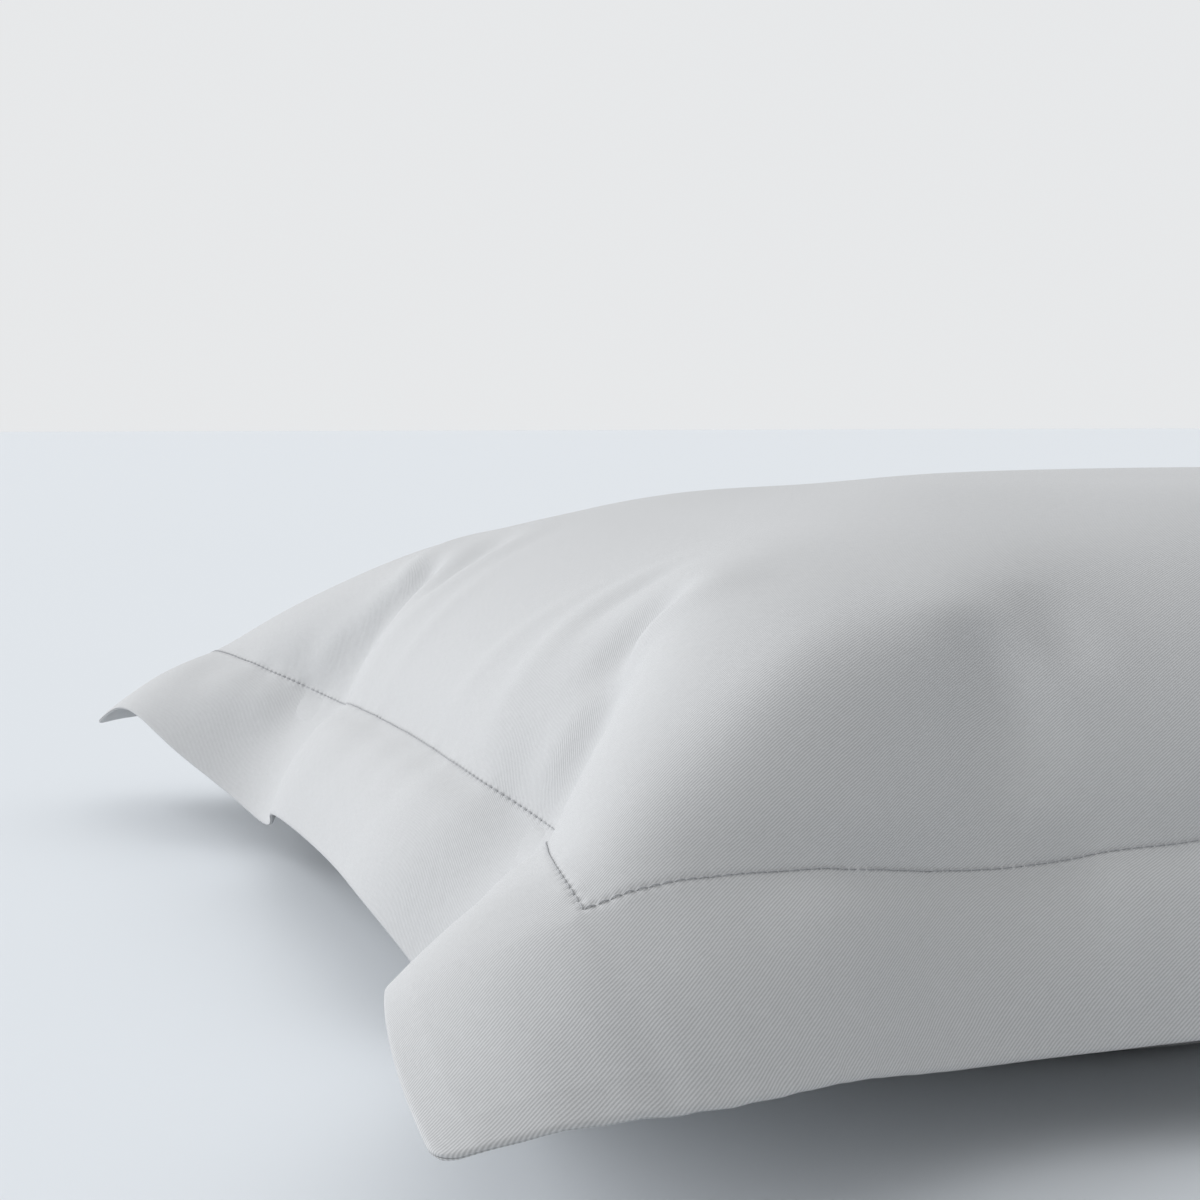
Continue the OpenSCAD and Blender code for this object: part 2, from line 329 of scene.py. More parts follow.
# Where the flange's edge is eased up or down: height, place along the side, width.
SIDE_EASING = ((0.008, 0.255, 0.045), (-0.005, 0.365, 0.035))
END_EASING = ((0.008, 0, 0.16), (0.007, 0.235, 0.03))


def eased(along, easing):
    return sum(height * bell(along, place, width) for height, place, width in easing)


def dressed(points, half_l, half_w):
    """The settled panel with its sides raised a little and its flange smoothed."""
    u, v = cut_places(points.shape[:2], half_l, half_w)
    u, v = abs(u), abs(v)
    at_corner = bell(u, HALF_L, KINK_REACH) * bell(v, HALF_W, KINK_REACH)
    on_flange = FLANGE_SOFTENED * np.clip(np.maximum(u - HALF_L, v - HALF_W) / FLANGE, 0, 1)
    soften(points, np.clip(MOST_SOFTENED * at_corner + on_flange, 0, MOST_SOFTENED), 3)
    height = points[..., 2].copy()
    off_floor = 1 - np.exp(-(height - FLOOR) / FLOOR_FADE)
    fade = 1 - TOP_FADE * np.clip((height - SEAM_LOW) / (FULL_HEIGHT - SEAM_LOW), 0, 1)
    lift = SIDE_LIFT * fade
    lift += END_RISE * np.clip((u - END_RISE_FROM) / END_RISE_OVER, 0, 1) * bell(v, 0, END_RISE_WIDTH)
    lift -= CROWN_DROP * bell(u, 0, CROWN_WIDTH) * np.clip((height - CROWN_FROM) / CROWN_OVER, 0, 1)
    points[..., 2] += lift * off_floor
    past_side = np.clip((v - HALF_W) / FLANGE, 0, 1)
    past_end = np.clip((u - HALF_L) / FLANGE, 0, 1)
    points[..., 2] += past_side * eased(u, SIDE_EASING)
    points[..., 2] += past_end * eased(v, END_EASING)
    return points


# Soft folds on the flat cloth: from (u, v) to (u, v), half width and height.
FOLDS = ((-0.385, -0.165, -0.295, -0.112, 0.0075, 0.0016),
         (-0.372, -0.135, -0.300, -0.120, 0.0060, 0.0012),
         (-0.372, -0.112, -0.270, -0.128, 0.0085, 0.0019),
         (-0.362, -0.074, -0.265, -0.066, 0.0080, 0.0016),
         (-0.365, -0.034, -0.290, -0.046, 0.0070, 0.0011),
         (-0.300, -0.238, -0.225, -0.180, 0.0170, -0.0026),
         (-0.335, -0.225, -0.270, -0.170, 0.0120, 0.0012),
         (-0.222, -0.236, -0.232, -0.305, 0.0065, 0.0018),
         (-0.246, -0.244, -0.250, -0.305, 0.0060, 0.0012),
         (-0.205, -0.245, -0.198, -0.300, 0.0080, -0.0012))
# Each fold at the four corners of the pillow: the side along x and y, how far it is moved, and its size.
FOLD_CORNERS = ((1, 1, 0, 0, 1), (-1, 1, 0, 0.011, 1), (1, -1, 0, -0.006, 0.8), (-1, -1, 0.009, 0, 0.7))
FOLD_BEND = 0.06        # four times how far a fold bows, as a share of its length
TOP_WAVES = 0.0005      # soft unevenness of the whole upper panel
WAVE_FADE = 0.08        # which fades this near the seam line
FLANGE_RIPPLE = 0.0006  # waves along the flange's edge near its corners


def moved(place, du, dv):
    """The same fold, moved on the flat cloth."""
    u0, v0, u1, v1, width, height = place
    return u0 + du, v0 + dv, u1 + du, v1 + dv, width, height


def fold(u, v, u0, v0, u1, v1, width, height):
    length2 = (u1 - u0) ** 2 + (v1 - v0) ** 2
    share = ((u - u0) * (u1 - u0) + (v - v0) * (v1 - v0)) / length2
    bent = FOLD_BEND * (share - share * share)
    side = ((v - v0) * (u1 - u0) - (u - u0) * (v1 - v0)) / math.sqrt(length2)
    side = side - bent * math.sqrt(length2)
    along = np.where((share > 0) & (share < 1), np.sin(math.pi * np.clip(share, 0, 1)), 0)
    return height * along * np.exp(-(side / width) ** 2)


def creased(points):
    """The upper panel with the soft folds that the coarse lattice can't carry."""
    u, v = cut_places(points.shape[:2], EDGE_L, EDGE_W)
    rise = TOP_WAVES * (np.sin(31 * u + 3 * np.sin(17 * v + 1))
                        + np.sin(37 * v - 13 * u + 2 * np.sin(19 * u)))
    inside_v = np.clip((HALF_W - abs(v)) / WAVE_FADE, 0, 1)
    inside_u = np.clip((HALF_L - abs(u)) / WAVE_FADE, 0, 1)
    rise *= inside_v * inside_u
    for place in FOLDS:
        for side_u, side_v, du, dv, size in FOLD_CORNERS:
            rise += size * fold(side_u * u, side_v * v, *moved(place, du, dv))
    near_edge = np.clip((abs(v) - HALF_W) / FLANGE, 0, 1) ** 2
    waves = np.sin(430 * u + 3 * np.sin(37 * u))
    rise += FLANGE_RIPPLE * near_edge * waves * bell(abs(u), 0.35, 0.06)
    normal = np.cross(np.gradient(points, axis=0), np.gradient(points, axis=1))
    normal /= np.linalg.norm(normal, axis=-1, keepdims=True) + 1e-12
    return points + rise[..., None] * normal


# ---------------------------------------------------------------- surfaces from the simulation
def padded_lattice(p):
    """A lattice with one more row on each side, carried straight on."""
    p = np.concatenate([2 * p[:1] - p[1:2], p, 2 * p[-1:] - p[-2:-1]])
    return np.concatenate([2 * p[:, :1] - p[:, 1:2], p, 2 * p[:, -1:] - p[:, -2:-1]], axis=1)


def curve_weights(t):
    return (((2 - t) * t - 1) * t / 2, ((3 * t - 5) * t * t + 2) / 2,
            ((4 - 3 * t) * t + 1) * t / 2, (t - 1) * t * t / 2)


class Panel:
    """A simulated panel as a smooth surface over the flat cloth."""

    def __init__(self, points, half_l, half_w, side):
        self.half = half_l, half_w
        self.cells = points.shape[0] - 1, points.shape[1] - 1
        self.points = padded_lattice(points)
        along = np.gradient(self.points, axis=0)
        across = np.gradient(self.points, axis=1)
        normal = side * np.cross(along, across)
        self.normals = normal / (np.linalg.norm(normal, axis=-1, keepdims=True) + 1e-12)

    def at(self, u, v, depth=0.0):
        """Points at (u, v) on the flat cloth, depth inwards from the panel."""
        i = (u / self.half[0] + 1) / 2 * self.cells[0]
        j = (v / self.half[1] + 1) / 2 * self.cells[1]
        i0 = np.clip(np.floor(i).astype(int), 0, self.cells[0] - 1)
        j0 = np.clip(np.floor(j).astype(int), 0, self.cells[1] - 1)
        point, normal = 0, 0
        for a, wa in enumerate(curve_weights(i - i0)):
            for b, wb in enumerate(curve_weights(j - j0)):
                weight = (wa * wb)[..., None]
                point = point + weight * self.points[i0 + a, j0 + b]
                normal = normal + weight * self.normals[i0 + a, j0 + b]
        normal /= np.linalg.norm(normal, axis=-1, keepdims=True) + 1e-12
        return point - np.asarray(depth)[..., None] * normal


def smooth_step(x):
    x = np.clip(x, 0, 1)
    return x * x * (3 - 2 * x)


# ---------------------------------------------------------------- meshes
def new_piece(name, mesh, material, nodes, body="pillow", smooth=True):
    mesh.polygons.foreach_set("use_smooth", [smooth] * len(mesh.polygons))
    mesh.materials.append(material)
    piece = bpy.data.objects.new(name, mesh)
    bpy.context.scene.collection.objects.link(piece)
    if nodes:
        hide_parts(*nodes)
    if body:
        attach(piece, body)
    return piece


def mesh_from(name, points, faces, uv=None):
    """A mesh from a list of points and faces. uv gives each point's place on the flat cloth."""
    mesh = bpy.data.meshes.new(name)
    mesh.from_pydata(np.asarray(points, float).reshape(-1, 3).tolist(), [], faces)
    if uv is not None:
        flat = np.asarray(uv, float).reshape(-1, 2)
        place = mesh.attributes.new("cloth", "FLOAT_VECTOR", "POINT")
        place.data.foreach_set("vector", np.column_stack([flat, flat[:, :1] * 0]).ravel())
    return mesh


def lattice_faces(rows, cols, first=0, flip=False):
    at = first + np.arange(rows * cols).reshape(rows, cols)
    faces = np.stack([at[:-1, :-1], at[1:, :-1], at[1:, 1:], at[:-1, 1:]], -1).reshape(-1, 4)
    return (faces[:, ::-1] if flip else faces).tolist()


def rim_faces(rows, cols):
    """Faces that close the gap between two stacked lattices of the same size."""
    at = np.arange(rows * cols).reshape(rows, cols)
    rim = np.concatenate([at[:, 0], at[-1, 1:], at[-2::-1, -1], at[0, -2:0:-1]])
    after = np.roll(rim, -1)
    count = rows * cols
    return np.stack([rim, rim + count, after + count, after], -1).tolist()


def tube_faces(sections, sides, count, closed):
    """Faces of count tubes, each of that many sections, and caps on open ones."""
    faces = []
    loops = sections if closed else sections - 1
    for k in range(count):
        base = k * sections * sides
        for i in range(loops):
            a, b = base + i * sides, base + (i + 1) % sections * sides
            faces += [[a + j, a + (j + 1) % sides, b + (j + 1) % sides, b + j]
                      for j in range(sides)]
        if not closed:
            faces.append([base + j for j in range(sides - 1, -1, -1)])
            faces.append([base + (sections - 1) * sides + j for j in range(sides)])
    return faces


# ---------------------------------------------------------------- the flat cut
LATTICE = FLANGE / 12    # spacing of the cloth's own lattice
STITCH = 0.003125       # length of a stitch of the topstitching
SEAM_STRIP = 0.003      # the lattice is finer this near the stitching
STRIP_CUTS = 7
TURN = 0.0009           # radius of the turned edge of the flange
CORNER = 0.006          # radius of the flange's corners, seen flat
ALLOWANCE = 0.009       # width of the seam allowance inside the flange
ALLOWANCE_RISE = 0.00022


def lattice_lines(half, edge, low=None, high=None):
    """Lines of the cloth's lattice across the whole cut, closer at its edges and stitching."""
    lines = list(np.arange(0, edge + 1e-6, LATTICE))
    lines += [half - SEAM_STRIP, half + SEAM_STRIP]
    lines += [edge - d for d in (0.00015, 0.0004, 0.0009, 0.0018, 0.003, 0.0045,
                                 ALLOWANCE - 0.0007, ALLOWANCE + 0.0009)]
    lines = sorted(set(round(abs(x), 6) for x in lines))
    both = sorted(set([-x for x in lines] + lines))
    return np.array([x for x in both
                     if (low is None or x >= low - 1e-7) and (high is None or x <= high + 1e-7)])


def rounded(u, v):
    """Bends the square corners of the flat cut into arcs."""
    a = np.clip((abs(u) - EDGE_L + CORNER) / CORNER, 0, 1)
    b = np.clip((abs(v) - EDGE_W + CORNER) / CORNER, 0, 1)
    inside = (a > 0) & (b > 0)
    x = EDGE_L - CORNER + CORNER * a * np.sqrt(1 - b * b / 2)
    y = EDGE_W - CORNER + CORNER * b * np.sqrt(1 - a * a / 2)
    return np.where(inside, np.sign(u) * x, u), np.where(inside, np.sign(v) * y, v)


def from_edge(u, v):
    return np.minimum(EDGE_L - abs(u), EDGE_W - abs(v))


def from_seam(u, v):
    """Signed distance from the seam line, positive on the flange, and distance along it."""
    out_u, out_v = abs(u) - HALF_L, abs(v) - HALF_W
    on_end = out_u > out_v
    return np.where(on_end, out_u, out_v), np.where(on_end, v + HALF_W, u + HALF_L)


GROOVE_DEPTH = 0.00026  # of the groove that the topstitching makes
GROOVE_WIDTH = 0.0011
HOLE_DEPTH = 0.00014    # of the dip at each needle hole
HOLE_WIDTH = 0.0012
PUCKER_HEIGHT = 0.00012  # of the short waves beside the stitching
PUCKER_WIDTH = 0.007
RIPPLE_HEIGHT = 0.00035  # of the longer waves on the flange
RIPPLE_PLACE = 0.012    # their middle, measured out from the stitching
RIPPLE_WIDTH = 0.014


def pucker(u, v):
    """How far the stitching pulls the cloth in: a groove, a dip at each needle hole, and waves."""
    off, along = from_seam(u, v)
    groove = GROOVE_DEPTH * bell(off, 0, GROOVE_WIDTH)
    holes = HOLE_DEPTH * np.cos(2 * math.pi * along / STITCH) * bell(off, 0, HOLE_WIDTH)
    waves = np.sin(along * 390 + 2 * np.sin(along * 61)) + np.sin(along * 247 + 1.7)
    ripple = np.sin(along * 163 + 1.5 * np.sin(along * 29)) + 0.7 * np.sin(along * 97)
    near = PUCKER_HEIGHT * bell(off, 0, PUCKER_WIDTH)
    far = RIPPLE_HEIGHT * bell(off, RIPPLE_PLACE, RIPPLE_WIDTH) * (off > -RIPPLE_PLACE)
    return groove + holes + waves * near + ripple * far


def flange_depths(u, v, outer):
    """Depth of a flange layer's outer or inner face from the middle of the flange."""
    edge = from_edge(u, v)
    turned = np.sqrt(1 - (1 - np.clip(edge / TURN, 0.06, 1)) ** 2)
    rise = ALLOWANCE_RISE * (1 - smooth_step((edge - ALLOWANCE) / 0.0016))
    if outer:
        return -(AIR + CLOTH + rise) * turned
    return -(AIR + rise) * turned * 0.5


def front_points(flat, top):
    u, v = rounded(flat[:, 0], flat[:, 1])
    depth = flange_depths(flat[:, 0], flat[:, 1], top)
    if top:
        depth = depth + pucker(flat[:, 0], flat[:, 1])
    return UPPER.at(u, v, depth)


def under_points(flat, depth_in):
    """Points of the lower layer: the flange's underside, and the lower panel of the pocket."""
    u, v = rounded(flat[:, 0], flat[:, 1])
    flange = (abs(u) > HALF_L - 1e-7) | (abs(v) > HALF_W - 1e-7)
    outer = depth_in < AIR + CLOTH / 2
    depth = -flange_depths(flat[:, 0], flat[:, 1], True) if outer else \
        -flange_depths(flat[:, 0], flat[:, 1], False)
    on_flange = UPPER.at(u, v, depth)
    in_pocket = LOWER.at(np.clip(u, -HALF_L, HALF_L), np.clip(v, -HALF_W, HALF_W),
                         np.full(u.shape, depth_in - CLOTH / 2))
    off, _ = from_seam(u, v)
    share = smooth_step(-off / 0.004)[:, None]
    return np.where(flange[:, None], on_flange, on_flange * (1 - share) + in_pocket * share)


def refined_grid(us, vs):
    """The flat lattice as a mesh, cut finer along the stitching."""
    grid = bmesh.new()
    flat = np.stack(np.meshgrid(us, vs, indexing="ij"), -1).reshape(-1, 2)
    verts = [grid.verts.new((x, y, 0)) for x, y in flat]
    for face in lattice_faces(len(us), len(vs)):
        grid.faces.new([verts[k] for k in face])
    reach = SEAM_STRIP + 1e-6

    def near(vert):
        return abs(from_seam(np.array(vert.co.x), np.array(vert.co.y))[0]) < reach

    close = {vert: near(vert) for vert in grid.verts}
    edges = [e for e in grid.edges if close[e.verts[0]] and close[e.verts[1]]]
    bmesh.ops.subdivide_edges(grid, edges=edges, cuts=STRIP_CUTS, use_grid_fill=True)
    mesh = bpy.data.meshes.new("flat")
    grid.to_mesh(mesh)
    grid.free()
    return mesh


def case_front(material):
    us, vs = lattice_lines(HALF_L, EDGE_L), lattice_lines(HALF_W, EDGE_W)
    top = refined_grid(us, vs)
    flat = np.zeros(len(top.vertices) * 3)
    top.vertices.foreach_get("co", flat)
    flat = flat.reshape(-1, 3)[:, :2]
    faces = [list(p.vertices) for p in top.polygons]
    bpy.data.meshes.remove(top)
    plain = np.stack(np.meshgrid(us, vs, indexing="ij"), -1).reshape(-1, 2)
    count = len(flat)
    points = np.concatenate([front_points(flat, True), front_points(plain, False)])
    faces += lattice_faces(len(us), len(vs), count, flip=True)
    rows, cols = len(us), len(vs)
    faces += [[f[0], f[1] - rows * cols + count, f[2] - rows * cols + count, f[3]]
              for f in rim_faces(rows, cols)]
    mesh = mesh_from("case_front_cloth", points, faces, np.concatenate([flat, plain]))
    piece = new_piece("case_front_cloth", mesh, material, ["case_front"])
    return piece


def layer(name, us, vs, outer, inner, material, nodes, flip):
    """A closed sheet between two functions of the flat cloth."""
    flat = np.stack(np.meshgrid(us, vs, indexing="ij"), -1).reshape(-1, 2)
    rows, cols = len(us), len(vs)
    faces = lattice_faces(rows, cols, 0, flip) + lattice_faces(rows, cols, rows * cols, not flip)
    rim = rim_faces(rows, cols)
    faces += [f[::-1] for f in rim] if flip else rim
    points = np.concatenate([outer(flat), inner(flat)])
    mesh = mesh_from(name, points, faces, np.concatenate([flat, flat]))
    return new_piece(name, mesh, material, nodes)


HEM = 0.025             # width of the hem at the back panel's opening edge
HEM_RISE = 0.0007       # how much thicker the cloth is there
HEM_STEP = 0.0008       # over this width it thickens
HEM_STITCH_INSET = 0.002
FLAP_AIR = 0.0003       # between the back panel's hem and the flap
BACK_END = HALF_L - 0.008   # where the back panel's opening edge lies
FLAP_START = 0.208      # where the flap's free edge lies
FLAP_HEM = 0.012        # from that edge to its hem stitching


def case_back(material):
    us = lattice_lines(HALF_L, EDGE_L, high=BACK_END)
    us = np.array(sorted(set(list(us) + [BACK_END - HEM - HEM_STEP, BACK_END - HEM, BACK_END])))
    vs = lattice_lines(HALF_W, EDGE_W)

    def hem(flat):
        inside = smooth_step((HALF_W - abs(flat[:, 1])) / 0.01)
        return HEM_RISE * smooth_step((flat[:, 0] - BACK_END + HEM + HEM_STEP) / HEM_STEP) * inside

    def outer(flat):
        return under_points(flat, 0.0)

    def inner(flat):
        lifted = under_points(flat, CLOTH)
        lifted[:, 2] += hem(flat)
        return lifted

    piece = layer("case_back_cloth", us, vs, outer, inner, material,
                  ["case_back"], True)
    return piece


def case_flap(material):
    us = lattice_lines(HALF_L, EDGE_L, low=FLAP_START)
    vs = lattice_lines(HALF_W, EDGE_W)
    over = CLOTH + HEM_RISE + FLAP_AIR

    def raised(flat, depth):
        points = under_points(flat, depth)
        off, _ = from_seam(flat[:, 0], flat[:, 1])
        points[:, 2] += over * smooth_step(-off / 0.004)
        return points

    piece = layer("case_flap_cloth", us, vs, lambda flat: raised(flat, 0.0),
                  lambda flat: raised(flat, CLOTH), material, ["case_flap"], True)
    return piece


# ---------------------------------------------------------------- stitching
THREAD = 0.00019        # radius of the thread
SINK = 0.0002           # how far a stitch's ends go into the cloth


def stitches(name, lines, length, place, material, nodes, rise=0.00022):
    """Rows of separate stitches. place(u, v, lift) gives points above the flat cloth."""
    sections, sides = 7, 6
    share = np.linspace(0.06, 0.94, sections)
    lift = rise * np.sin(math.pi * (share - share[0]) / (share[-1] - share[0])) ** 0.6
    lift = lift - SINK * (lift == lift.min())
    turn = 2 * math.pi * np.arange(sides) / sides
    rings, faces_count = [], 0
    for start, end in lines:
        start, end = np.array(start), np.array(end)
        count = max(1, round(float(np.linalg.norm(end - start)) / length))
        along = (np.arange(count)[:, None] + share).ravel() / count
        flat = start + along[:, None] * (end - start)
        lifts = np.tile(lift, count)
        middle = place(flat[:, 0], flat[:, 1], lifts)
        above = place(flat[:, 0], flat[:, 1], lifts + 0.001)
        up = above - middle
        up /= np.linalg.norm(up, axis=1, keepdims=True)
        ahead = np.gradient(middle.reshape(count, sections, 3), axis=1).reshape(-1, 3)
        side = np.cross(ahead, up)
        side /= np.linalg.norm(side, axis=1, keepdims=True) + 1e-12
        ring = middle[:, None] + THREAD * (np.cos(turn)[None, :, None] * side[:, None]
                                           + np.sin(turn)[None, :, None] * up[:, None])
        rings.append(ring.reshape(-1, 3))
        faces_count += count
    mesh = mesh_from(name, np.concatenate(rings), tube_faces(sections, sides, faces_count, False))
    return new_piece(name, mesh, material, nodes)


def seam_lines(half_l, half_w):
    corners = [(-half_l, -half_w), (half_l, -half_w), (half_l, half_w), (-half_l, half_w)]
    return [(corners[k], corners[(k + 1) % 4]) for k in range(4)]


def above_front(u, v, lift):
    return UPPER.at(u, v, pucker(u, v) - AIR - CLOTH - THREAD * 0.6 - lift)


def below_flange(u, v, lift):
    return UPPER.at(u, v, AIR + CLOTH + THREAD * 0.6 + lift)


def between_flange(u, v, lift):
    return UPPER.at(u, v, lift * 0.1)


def below_back(u, v, lift):
    return LOWER.at(u, v, -CLOTH / 2 - THREAD * 0.6 - lift)


def above_flap(u, v, lift):
    return LOWER.at(u, v, 2.5 * CLOTH + HEM_RISE + FLAP_AIR + THREAD * 0.6 + lift)


# ---------------------------------------------------------------- the inner pillow
INSERT_INSET = 0.012    # its seam lies this far inside the pillowcase's seam line
INSERT_L = HALF_L - INSERT_INSET
INSERT_W = HALF_W - INSERT_INSET
SEAM_DEPTH = 0.004      # and this deep under both panels where they run on smoothly
SEAM_BLEND = 0.010      # over this width the ticking comes together at its seam
CORD_DEPTH = 0.0008     # of the cord and stitches at that seam
TOP_DEPTH = 0.0011      # of the ticking under the upper panel
BOTTOM_DEPTH = 0.0026   # of the ticking above the lower panel, with room for the hem and the flap
FILL_TOP_DEPTH = 0.0018
FILL_BOTTOM_DEPTH = 0.0034
CORD_RADIUS = 0.0011
SEAM_THREAD_RADIUS = 0.0003
SEAM_THREAD_INSET = 0.0018
CLOSING_HALF = 0.09     # half the length of the closing stitch
CLOSING_INSET = 0.0005
CLOSING_STITCH = 0.004


def insert_point(panel, u, v, depth):
    """A point inside the pocket, under a panel, drawn to the middle at the insert's seam."""
    edge = np.minimum(INSERT_L - abs(u), INSERT_W - abs(v))
    half = np.full(np.shape(u), SEAM_DEPTH)
    middle = 0.5 * (UPPER.at(u, v, half) + LOWER.at(u, v, half))
    share = (1 - smooth_step(edge / SEAM_BLEND))[..., None]
    return (1 - share) * panel.at(u, v, depth) + share * middle


def insert_lines(half, count, inset=0.0):
    reach = half - inset
    return reach * np.sin(np.linspace(-math.pi / 2, math.pi / 2, count))


def ticking(name, panel, depth, material, nodes, flip):
    us, vs = insert_lines(INSERT_L, 121), insert_lines(INSERT_W, 81)
    piece = layer(name, us, vs,
                  lambda f: insert_point(panel, f[:, 0], f[:, 1], np.full(len(f), depth)),
                  lambda f: insert_point(panel, f[:, 0], f[:, 1], np.full(len(f), depth + TICKING))
                  - np.array([0, 0, (-1 if flip else 1) * 0.0001]),
                  material, nodes, flip)
    return piece


def filling(material, depth_top, depth_bottom):
    us, vs = insert_lines(INSERT_L, 121, 0.003), insert_lines(INSERT_W, 81, 0.003)

    def upper(f):
        return insert_point(UPPER, f[:, 0], f[:, 1], np.full(len(f), depth_top))

    def lower(f):
        return insert_point(LOWER, f[:, 0], f[:, 1], np.full(len(f), depth_bottom))

    piece = layer("filling_fibre", us, vs, upper, lower, material, ["filling"], False)
    return piece


def ring_tube(name, inset, radius, material, nodes, sides=8, wave=0.0):
    """A cord round the insert's seam."""
    u, v = [], []
    for (x0, y0), (x1, y1) in seam_lines(INSERT_L - inset, INSERT_W - inset):
        share = np.arange(0, 1, 1 / round(math.hypot(x1 - x0, y1 - y0) / 0.006))
        u += list(x0 + share * (x1 - x0))
        v += list(y0 + share * (y1 - y0))
    u, v = np.array(u), np.array(v)
    line = insert_point(UPPER, u, v, np.full(len(u), CORD_DEPTH))
    ahead = np.roll(line, -1, 0) - np.roll(line, 1, 0)
    ahead /= np.linalg.norm(ahead, axis=1, keepdims=True)
    side = np.cross(ahead, [0, 0, 1])
    up = np.cross(side, ahead)
    turn = 2 * math.pi * np.arange(sides) / sides
    size = radius * (1 + wave * np.sin(np.arange(len(u)) * 1.9))[:, None, None]
    ring = line[:, None] + size * (np.cos(turn)[None, :, None] * side[:, None]
                                   + np.sin(turn)[None, :, None] * up[:, None])
    mesh = mesh_from(name, ring, tube_faces(len(u), sides, 1, True))
    return new_piece(name, mesh, material, nodes)


INSERT_LABEL_W = 0.040
INSERT_LABEL_L = 0.055  # from the insert's seam to the label's free end
INSERT_LABEL_TAIL = 0.003   # and what is caught in that seam
INSERT_LABEL_START = 0.22   # its place along the seam
INSERT_LABEL_THICK = 0.0004


def insert_label(material):
    """A blank label sewn into the insert's seam, lying flat inside the pocket."""
    us = np.linspace(INSERT_LABEL_START, INSERT_LABEL_START + INSERT_LABEL_W, 14)
    vs = np.linspace(-INSERT_W - INSERT_LABEL_TAIL, -INSERT_W + INSERT_LABEL_L, 24)

    def face(flat, lift):
        v = flat[:, 1]
        depth = np.full(len(v), BOTTOM_DEPTH)
        inner = insert_point(LOWER, flat[:, 0], np.maximum(v, -INSERT_W), depth)
        inner[:, 2] += lift
        return inner

    piece = layer("insert_label_tape", us, vs, lambda f: face(f, 0.0),
                  lambda f: face(f, INSERT_LABEL_THICK),
                  material, ["insert_label"], True)
    return piece


TUCKED = 0.25           # share of the care label that runs from the seam to its fold
LABEL_ROOT_DEPTH = 0.0004   # under the upper panel, where it is caught in the seam
LABEL_HALF_THICK = 0.00022
LABEL_CURL = 0.0008     # how far its middle bows
LABEL_TWIST = 0.0006    # and its free end twists


def care_label(material):
    """A blank woven label that hangs from the seam line at the pillow's far end."""
    low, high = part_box("care_label")
    x = (low[0] + high[0]) / 2
    rows = np.linspace(0, 1, 25)
    across = np.linspace(-1, 1, 11)
    top, bottom, half = high[2], low[2], (high[1] - low[1]) / 2
    middle = (low[1] + high[1]) / 2
    s, t = np.meshgrid(across, rows, indexing="ij")
    seam_v = np.full(1, middle)
    for _ in range(6):
        seam_at = UPPER.at(np.full(1, HALF_L), seam_v, np.full(1, LABEL_ROOT_DEPTH))[0]
        seam_v = seam_v + (middle - seam_at[1])
    reach = np.clip((t - TUCKED) / (1 - TUCKED), 0, 1)
    tucked = 1 - np.clip(t / TUCKED, 0, 1)
    z = top + (bottom - top) * reach + (seam_at[2] - top) * tucked
    x = x + (seam_at[0] - x) * tucked
    y = middle + half * s * (1 - 0.01 * t)
    curl = LABEL_CURL * np.sin(math.pi * reach) * (1 - 0.3 * s) + LABEL_TWIST * reach * reach * s
    front = np.stack([x - LABEL_HALF_THICK + curl, y, z], -1)
    back = np.stack([x + LABEL_HALF_THICK + curl, y, z], -1)
    n, m = s.shape
    faces = lattice_faces(n, m, 0, False) + lattice_faces(n, m, n * m, True)
    faces += [f[::-1] for f in rim_faces(n, m)]
    length = top - bottom + math.hypot(x[0, 0] - x[0, -1], z[0, 0] - top)
    flat = np.stack([s * half, -t * length], -1).reshape(-1, 2)
    points = np.concatenate([front.reshape(-1, 3), back.reshape(-1, 3)])
    mesh = mesh_from("care_label_tape", points, faces, np.concatenate([flat, flat]))
    piece = new_piece("care_label_tape", mesh, material, ["care_label"], body=None)
    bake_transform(piece)
    return piece


# ---------------------------------------------------------------- materials
def tree_of(name, rough, sheen=0.0):
    material = bpy.data.materials.new(name)
    material.use_nodes = True
    shader = material.node_tree.nodes["Principled BSDF"]
    shader.inputs["Roughness"].default_value = rough
    shader.inputs["Sheen Weight"].default_value = sheen
    shader.inputs["Sheen Roughness"].default_value = 0.5
    shader.inputs["Specular IOR Level"].default_value = 0.25
    return material, material.node_tree, shader


def math_node(tree, kind, a, b=None):
    node = tree.nodes.new("ShaderNodeMath")
    node.operation = kind
    for socket, value in zip(node.inputs, (a, b)):
        if value is None:
            continue
        if isinstance(value, (int, float)):
            socket.default_value = value
        else:
            tree.links.new(value, socket)
    return node.outputs[0]


def mapped(tree, value, low, high):
    node = tree.nodes.new("ShaderNodeMapRange")
    node.inputs["To Min"].default_value = low
    node.inputs["To Max"].default_value = high
    tree.links.new(value, node.inputs["Value"])
    return node.outputs[0]


def noise(tree, vector, scale, detail=2.0, rough=0.5):
    node = tree.nodes.new("ShaderNodeTexNoise")
    node.inputs["Scale"].default_value = scale
    node.inputs["Detail"].default_value = detail
    node.inputs["Roughness"].default_value = rough
    tree.links.new(vector, node.inputs["Vector"])
    return node.outputs["Fac"]


def scaled(tree, vector, factors):
    node = tree.nodes.new("ShaderNodeVectorMath")
    node.operation = "MULTIPLY"
    node.inputs[1].default_value = factors
    tree.links.new(vector, node.inputs[0])
    return node.outputs[0]


def colour_by(tree, shader, value, dark, light):
    ramp = tree.nodes.new("ShaderNodeMix")
    ramp.data_type = "RGBA"
    ramp.inputs["A"].default_value = (*dark, 1)
    ramp.inputs["B"].default_value = (*light, 1)
    tree.links.new(value, ramp.inputs["Factor"])
    tree.links.new(ramp.outputs["Result"], shader.inputs["Base Color"])


